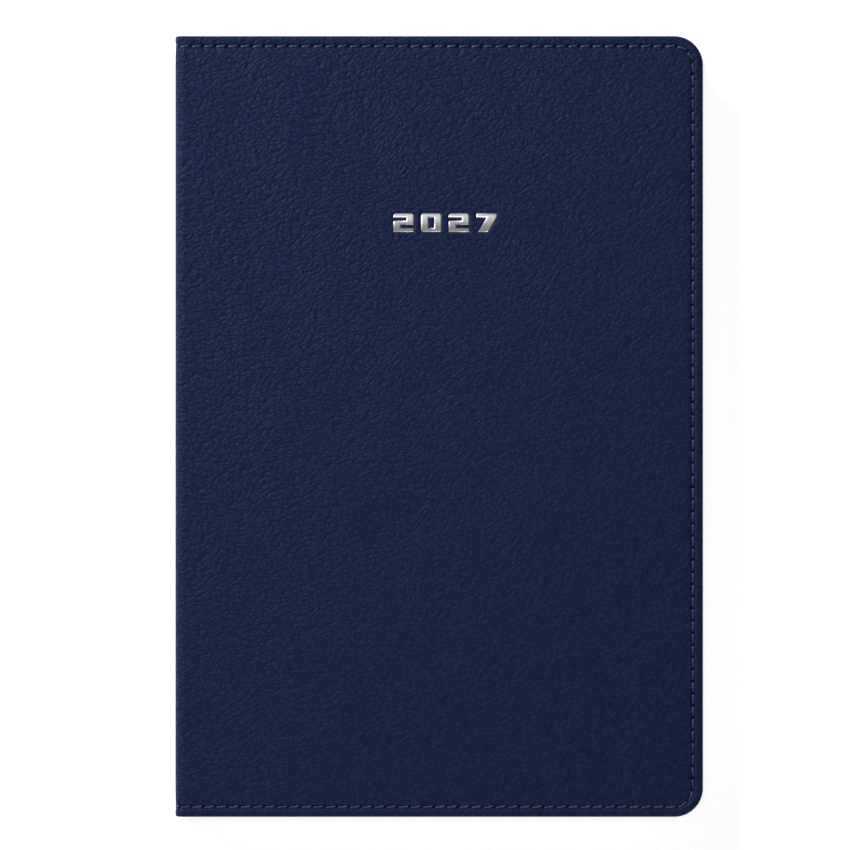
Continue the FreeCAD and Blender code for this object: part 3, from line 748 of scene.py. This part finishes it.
def skin_lines(stamped):
    """The grid's columns across the case and its rows along it: each one's kind, its place on the face,
    and its step round the edge. The grid is fine round the numerals where it is stamped."""
    runs = list(np.linspace(0, spine_run, 10)[:-1]) + list(np.linspace(spine_run, bend_run, 11)[:-1])
    shift = bend_run - (LEFT + BEND_RADIUS)
    if stamped:
        near = (year_low.x + shift - STAMP_MARGIN, year_high.x + shift + STAMP_MARGIN, STAMP_STEPS[0])
        face = spaced(bend_run, face_end, FACE_STEP, *near)
        near = (year_low.y - STAMP_MARGIN, year_high.y + STAMP_MARGIN, STAMP_STEPS[1])
        levels = spaced(-HEAD + margin, HEAD - margin, FACE_STEP, *near)
    else:
        face = np.linspace(bend_run, face_end, 146)
        levels = np.linspace(-HEAD + margin, HEAD - margin, 214)
    steps = len(edge_profile(COVER_THICK)[0])
    columns = [("case", run, 0) for run in runs + list(face)] + [("edge", 0.0, k) for k in range(1, steps)]
    rows = [("tail", 0.0, k) for k in range(steps - 1, 0, -1)] + [("level", y, 0) for y in levels]
    rows += [("head", 0.0, k) for k in range(1, steps)]
    return columns, rows


def skin_places(columns, rows):
    """Where the columns cross the rows, three times: in space, on the flat hide, and as run along the
    seam and inset from the case's edge."""
    points = np.zeros((len(rows), len(columns), 3))
    hide = np.zeros_like(points)
    seam = np.zeros_like(points)
    seam[:, :, 1] = 1.0
    insets, depths = edge_profile(COVER_THICK)
    steps = np.hypot(np.diff(insets), np.diff(depths))
    lengths = np.concatenate([[0], np.cumsum(steps)])
    for j, (where, run, k1) in enumerate(columns):
        if where == "case":
            x, z, out = across_case(run)
            thin, sunk = edge_profile(case_thickness(run))
        for i, (level, y, k2) in enumerate(rows):
            side = -1 if level == "tail" else 1
            if where == "case":
                inset, depth = (thin[k2], sunk[k2]) if level != "level" else (1.0, 0.0)
                y_here = side * (HEAD - inset) if level != "level" else y
                points[i, j] = (x - out[0] * depth, y_here, z - out[1] * depth)
                reach = lengths[k2] if level != "level" else 0
                hide[i, j] = (run, side * (HEAD - margin + reach) if level != "level" else y, 0)
                seam[i, j] = (run if side < 0 else seam_run - run, inset, 0)
                continue
            if level == "level":
                x_here, y_here, k = RIGHT - insets[k1], y, k1
                flat = (face_end + lengths[k1], y)
                place = face_end + corner_run + y + HEAD - margin
            else:
                k = max(k1, k2)
                share = 0.5 * lengths[k2] / lengths[k1] if k1 >= k2 else 1 - 0.5 * lengths[k1] / lengths[k2]
                dx, dy = ring(margin - insets[k], max(CORNER - insets[k], 0), share)
                x_here, y_here = RIGHT - margin + dx, side * (HEAD - margin + dy)
                dx, dy = ring(lengths[k], max(lengths[k] - (margin - CORNER), 0), share)
                flat = (face_end + dx, side * (HEAD - margin + dy))
                first = face_end if side < 0 else face_end + corner_run + side_run
                place = first + corner_run * (1 - share if side < 0 else share)
            points[i, j] = (x_here, y_here, TOP - depths[k])
            hide[i, j] = (*flat, 0)
            seam[i, j] = (place, insets[k], 0)
    return points.reshape(-1, 3), hide.reshape(-1, 3), seam.reshape(-1, 3)


def skin_half(name, flip, stamped):
    """Half of the case's skin, from the middle of the spine to the fore-edge. flip turns it to the back."""
    columns, rows = skin_lines(stamped)
    points, hide, seam = skin_places(columns, rows)
    relief = hide_relief(hide, seam)
    on_top = (points[:, 2] > TOP - 0.7 * mm) & (points[:, 0] > LEFT + BEND_RADIUS)
    points[on_top, 2] -= relief[on_top]
    if stamped:
        stamp = (year_low + year_high) / 2
        near = on_top & (abs(points[:, 0] - stamp.x) < STAMP_REACH[0])
        near &= abs(points[:, 1] - stamp.y) < STAMP_REACH[1]
        points[near, 2] -= pressed_depth(points[near, :2])

    number = np.arange(len(rows) * len(columns)).reshape(len(rows), len(columns))
    corners = (number[:-1, :-1], number[:-1, 1:], number[1:, 1:], number[1:, :-1])
    faces = np.stack(corners, axis=-1).reshape(-1, 4).tolist()
    last = sum(where == "case" for where, _, _ in columns) - 1
    for j in range(last):
        faces.append([int(number[r, c]) for r, c in ((0, j), (0, j + 1), (-1, j + 1), (-1, j))])
    rim = list(number[-1, last:]) + list(number[-2::-1, -1]) + list(number[0, last:-1][::-1])
    faces.append([int(v) for v in rim])
    faces.append([int(v) for v in number[:, 0]])
    if flip:
        points[:, 2] = TOP - points[:, 2]
    return new_piece(name, points, faces, hide=hide, seam=seam)


PEBBLE, RIDGE, BROAD_LUMP = 0.72 * mm, 0.55 * mm, 1.9 * mm
GRAIN_DEPTH = 0.2 * mm


def moved_by(push, reach, place):
    """place shifted by push, which is noise from 0 to 1, times reach."""
    return place.node("VectorMath", {"operation": "MULTIPLY_ADD"}, {0: push, 1: reach, 2: place})


def leatherette():
    """Navy grained skin: fine pebbles drawn out along the book's width, with needle holes in the seam. The
    grain is pressed flatter towards the tail and the fore-edge. Its colour holds painted shade: darker in
    the grain's low places with a painted highlight on its high ones, darker along the hems, and near black
    in the needle holes, less so towards the tail."""
    material, shader, start = new_finish("navy_leatherette", Specular_IOR_Level=0.1)
    place = stored(start, "hide")
    run, inset, _ = stored(start, "seam").parts()
    sway = place.noise(22 * mm, 1, out=1)
    drift = moved_by(sway, (5 * mm, 9 * mm, 0), place)
    fine = place.noise(2.0 * mm, 2, out=1)
    swirl = moved_by(fine, (1.3 * mm, 1.3 * mm, 0), drift)
    along, up, _ = swirl.parts()
    drawn = start.node("CombineXYZ", {}, {0: along * 0.62, 1: up - along * along * 1.1})
    cells = {"Vector": drawn, "Scale": 1 / PEBBLE, "Randomness": 1.0, "Smoothness": 0.5}
    reach = drawn.node("TexVoronoi", {"feature": "SMOOTH_F1"}, cells)
    ridges = drawn.noise(RIDGE, 2, 0.55)
    broad = drawn.noise(BROAD_LUMP, 2, 0.5)
    height = ridges * 0.55 + broad * 0.75 - reach * reach * 1.6
    in_line = abs(inset - SEAM_INSET).rise(0.5 * mm, 0.2 * mm)
    hole = abs(run.repeat(STITCH) - 0.5).rise(0.37, 0.47) * in_line

    # Painted shade and painted highlight: the colour is darker in the grain's low places and lighter on its
    # high ones.
    shade = height.rise(0.1, 0.9)
    patch = place.noise(40 * mm, 2)
    colour = shade.mix((0.0064, 0.0132, 0.049, 1), (0.014, 0.0275, 0.083, 1))
    colour = (patch * 0.35).mix(colour, (0.0085, 0.0178, 0.0615, 1))
    # Painted shade: the hem band between the seam and the edge is painted darker than the face.
    hem = inset.rise(2.5 * mm, 2.1 * mm)
    colour = (hem * 0.25).mix(colour, (0.0055, 0.0125, 0.044, 1))
    # Painted shade: the needle holes are painted near black, less deeply towards the tail.
    hole_shade_share = up.rise(-107 * mm, -92 * mm) * 0.45 + 0.3
    colour = (hole * hole_shade_share).mix(colour, (0.0015, 0.002, 0.006, 1))
    rough = 0.47 - shade * 0.06 + ridges * 0.08
    pressed = (up - along).rise(-210 * mm, 60 * mm) * 0.75 + 0.45
    relief = bump(start, height * pressed * 0.86 - hole * 2, GRAIN_DEPTH)
    feed(shader, Base_Color=colour, Roughness=rough, Normal=relief)
    return material


leather = leatherette()
front_skin = skin_half("front_leatherette", False, True)
back_skin = skin_half("back_leatherette", True, False)
for skin, node in ((front_skin, "front_cover_skin"), (back_skin, "back_cover_skin")):
    wear(skin, leather)
    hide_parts(node, "spine_skin")
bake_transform(front_skin)
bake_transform(back_skin)


# ---- Seam ----
# Lockstitch all round the case, 2.8 mm from the edge: a heavier needle thread outside and a finer bobbin
# thread on the turn-in. Each stitch is a short twisted length that dives into the next needle hole.


def seam_at(run, inset, depth, inside):
    """The seam at run from the middle of the spine's tail, depth under the outer or the inner face."""
    if run < face_end or run > seam_run - face_end:
        side = -1 if run < face_end else 1
        along = run if run < face_end else seam_run - run
        x, z, out = across_case(along)
        sunk = case_thickness(along) - depth if inside else depth
        return Vector((x - out[0] * sunk, side * (HEAD - inset), z - out[1] * sunk))
    z = TOP - (COVER_THICK - depth if inside else depth)
    after = run - face_end - corner_run
    if 0 <= after <= side_run:
        return Vector((RIGHT - inset, after - HEAD + margin, z))
    share = (run - face_end) / corner_run if after < 0 else (after - side_run) / corner_run
    dx, dy = ring(margin - inset, CORNER - inset, 1 - share if after < 0 else share)
    return Vector((RIGHT - margin + dx, (HEAD - margin + dy) * (-1 if after < 0 else 1), z))


NEEDLE_THREAD, BOBBIN_THREAD = 0.48 * mm, 0.3 * mm
STITCH_START, STITCH_END = 0.08, 0.93  # of the room from one hole to the next
LEAN_ALONG_EDGE, LEAN_ACROSS, LEAN_SCATTER = 0.02, 0.2, 0.03
PLIES, PLY_HEIGHT, PLY_TURN = 3, 0.1, 5.5


def stitches(name, flip, inside, thread):
    """Every stitch of one half of the seam, outside or inside, as one mesh. Each leans a little across the
    seam, more so at the head and the tail than along the fore-edge, and swells towards its end."""
    rings, around = 15, 10
    points, faces, twist = [], [], []
    rng = np.random.default_rng(11 if inside else 5)
    for n in range(STITCH_COUNT):
        if n in (0, STITCH_COUNT - 1):
            begin, end = (0.0, STITCH * 0.9) if n == 0 else (seam_run - STITCH * 0.9, seam_run)
        else:
            begin, end = (n + STITCH_START) * STITCH, (n + STITCH_END) * STITCH
        along_edge = face_end + corner_run < begin < face_end + corner_run + side_run
        lean = rng.normal(LEAN_ALONG_EDGE if along_edge else LEAN_ACROSS, LEAN_SCATTER) * mm
        size = thread / 2 * rng.uniform(0.92, 1.08)
        first = len(points)
        for r in range(rings):
            share = r / (rings - 1)
            run = begin + (end - begin) * share
            edge = abs(2 * share - 1)
            depth = thread * 0.5 + thread * 1.3 * edge ** (9 if share > 0.5 else 6)
            inset = SEAM_INSET + lean * (2 * share - 1)
            here = seam_at(run, inset, depth, inside)
            ahead = seam_at(run + 0.05 * mm, inset, depth, inside)
            ahead -= seam_at(run - 0.05 * mm, inset, depth, inside)
            under = seam_at(run, inset, depth + 0.1 * mm, inside) - here
            up = (-under).normalized()
            across = ahead.normalized().cross(up)
            body = size * (1 - 0.35 * edge**6) * (1 + 0.35 * share**3)
            for m in range(around):
                angle = 2 * math.pi * m / around
                lobes = 1 + PLY_HEIGHT * math.cos(PLIES * (angle - PLY_TURN * share))
                points.append(here + (across * math.cos(angle) + up * math.sin(angle)) * body * lobes)
                twist.append((angle / (2 * math.pi), share, n * 0.37 % 1))
        for r in range(rings - 1):
            for m in range(around):
                a, b = first + r * around + m, first + r * around + (m + 1) % around
                faces.append((a, b, b + around, a + around))
        faces += [tuple(range(first, first + around)), tuple(range(len(points) - around, len(points)))]
    if flip:
        points = [(x, y, TOP - z) for x, y, z in points]
    return new_piece(name, points, faces, twist=twist)


def seam_thread(name, dark, light):
    """Bonded polyester thread of three plies, a little lighter than the skin."""
    material, shader, start = new_finish(name, Roughness=0.5, Specular_IOR_Level=0.3)
    angle, along, chance = stored(start, "twist").parts()
    ply = (angle * PLIES - along * 2.63 + 0.25).wave(1)
    strands = (angle * 15 - along * 13).wave(1)
    # Painted highlight: each stitch is painted lighter over its second half.
    tone = ply * 0.25 + strands * 0.1 + chance * 0.2 + 0.15 + along.rise(0.45, 0.85) * 0.45
    feed(shader, Base_Color=tone.mix(dark, light), Normal=bump(start, ply + strands * 0.3, 0.02 * mm))
    return material


needle = seam_thread("needle_thread", (0.024, 0.036, 0.084, 1), (0.088, 0.112, 0.218, 1))
bobbin = seam_thread("bobbin_thread", (0.03, 0.042, 0.085, 1), (0.1, 0.125, 0.2, 1))
for side, crossing in (("front", ("spine", "front_cover")), ("back", ("back_cover", "spine"))):
    flip = side == "back"
    spine_runs = ["spine_head_thread", "spine_tail_thread"]
    outside = stitches(f"{side}_seam_stitches", flip, False, NEEDLE_THREAD)
    wear(outside, needle)
    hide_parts(f"{side}_seam_thread", *spine_runs)
    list(crossing)
    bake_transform(outside)
    within = stitches(f"{side}_bobbin_stitches", flip, True, BOBBIN_THREAD)
    wear(within, bobbin)
    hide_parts(f"{side}_bobbin_thread")
    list(crossing)
    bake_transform(within)


# ---- Year numerals ----
# Silver foil stamped into the front cover: four block numerals that lie in the pressed skin, their top
# edges rolled over by the stamp.


def foil_numerals():
    """The four numerals as one mesh, each a filled outline with a top edge rolled over in roll. They are
    flattened to that share of their height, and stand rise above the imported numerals."""
    roll, flatness, rise = 0.42 * mm, 0.62, 0.07 * mm
    curve = bpy.data.curves.new("year_foil", "CURVE")
    curve.dimensions, curve.fill_mode = "2D", "BOTH"
    curve.bevel_depth, curve.bevel_resolution, curve.offset = roll, 3, -roll
    for outlines in year_outlines():
        for outline in outlines:
            spline = curve.splines.new("POLY")
            spline.points.add(len(outline) - 1)
            for point, (x, y) in zip(spline.points, outline):
                point.co = (x, y, 0, 1)
            spline.use_cyclic_u = True
    shape = bpy.data.objects.new("year_foil", curve)
    bpy.context.scene.collection.objects.link(shape)
    bpy.context.view_layer.update()
    mesh = bpy.data.meshes.new_from_object(shape.evaluated_get(bpy.context.evaluated_depsgraph_get()))
    bpy.data.objects.remove(shape)
    piece = bpy.data.objects.new("year_foil", mesh)
    bpy.context.scene.collection.objects.link(piece)
    shell = bmesh.new()
    shell.from_mesh(mesh)
    bmesh.ops.remove_doubles(shell, verts=shell.verts, dist=0.001 * mm)
    shell.to_mesh(mesh)
    shell.free()
    level = Matrix.Translation((0, 0, year_high.z + rise - roll * flatness))
    mesh.transform(level @ Matrix.Diagonal((1, 1, flatness, 1)))
    return piece


def silver_foil():
    """Metal foil with a trace of the leather's grain, a little crowned in its recess. Its colour is painted
    light: bright at the head of each numeral and grey lower down, with a painted highlight along its lower
    edge."""
    material, shader, start = new_finish("silver_foil", Metallic=0.75)
    place = made_place(start)
    _, up, _ = place.parts()
    grain = place.noise(0.5 * mm, 3, 0.6)
    cloud = place.noise(2.5 * mm, 2)
    rest = up - (year_low.y + DIGIT_HEIGHT * 0.2)
    crown = 0 - rest * rest * 45 / mm
    # Painted highlight: the colour is bright towards the top of each numeral, with a bright painted line
    # along its lower edge.
    top_highlight = rest.rise(0, DIGIT_HEIGHT * 0.75)
    foot_highlight = (up - year_low.y).rise(0.5 * mm, 0.3 * mm)
    tone = cloud * 0.3 + top_highlight * 0.75 + foot_highlight * 0.8
    colour = tone.mix((0.42, 0.42, 0.42, 1), (0.9, 0.9, 0.89, 1))
    relief = bump(start, crown + grain * 0.02, 1 * mm)
    feed(shader, Base_Color=colour, Roughness=0.32 + grain * 0.12, Normal=relief)
    return material


year = foil_numerals()
wear(year, silver_foil())
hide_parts("year_numerals")
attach(year, "front_cover")


# ---- Floor and light ----
# A plain pale floor under soft light from the upper left, with a weaker light opposite.


def pale_floor():
    """Matt white card."""
    glow = {"Emission_Color": (1, 1, 1, 1), "Emission_Strength": 0.75}
    material, shader, start = new_finish("pale_floor", Roughness=0.95, Specular_IOR_Level=0.0, **glow)
    cloud = made_place(start).noise(0.4, 2)
    feed(shader, Base_Color=cloud.mix((0.86, 0.86, 0.86, 1), (0.88, 0.88, 0.88, 1)))
    return material


floor_size, floor_gap = 6.0, 0.2 * mm  # The skin dips by less than the gap when the book lies open.
bpy.ops.mesh.primitive_plane_add(size=floor_size, location=(0, 0, FLOOR - floor_gap))
floor = bpy.context.object
floor.name = "floor"
wear(floor, pale_floor())
floor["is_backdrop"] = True


LAMP_SIZE = 0.5


def soft_light(name, place, power):
    """A square lamp at place that faces the book."""
    lamp = bpy.data.lights.new(name, "AREA")
    lamp.size, lamp.energy = LAMP_SIZE, power
    light = bpy.data.objects.new(name, lamp)
    light.location = place
    light.rotation_euler = Vector(place).to_track_quat("Z", "Y").to_euler()
    bpy.context.scene.collection.objects.link(light)


soft_light("key", (-0.62, 0.58, 0.74), 14)
soft_light("fill", (0.4, -1.2, 0.95), 5)
world = bpy.data.worlds.new("studio")
world.use_nodes = True
sky = world.node_tree.nodes["Background"].inputs
sky["Color"].default_value = (1, 1, 1, 1)
sky["Strength"].default_value = 0.08
bpy.context.scene.world = world

boxes = {"cad": cad_box, "visual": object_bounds()}
{name: [[float(x) for x in corner] for corner in box] for name, box in boxes.items()}
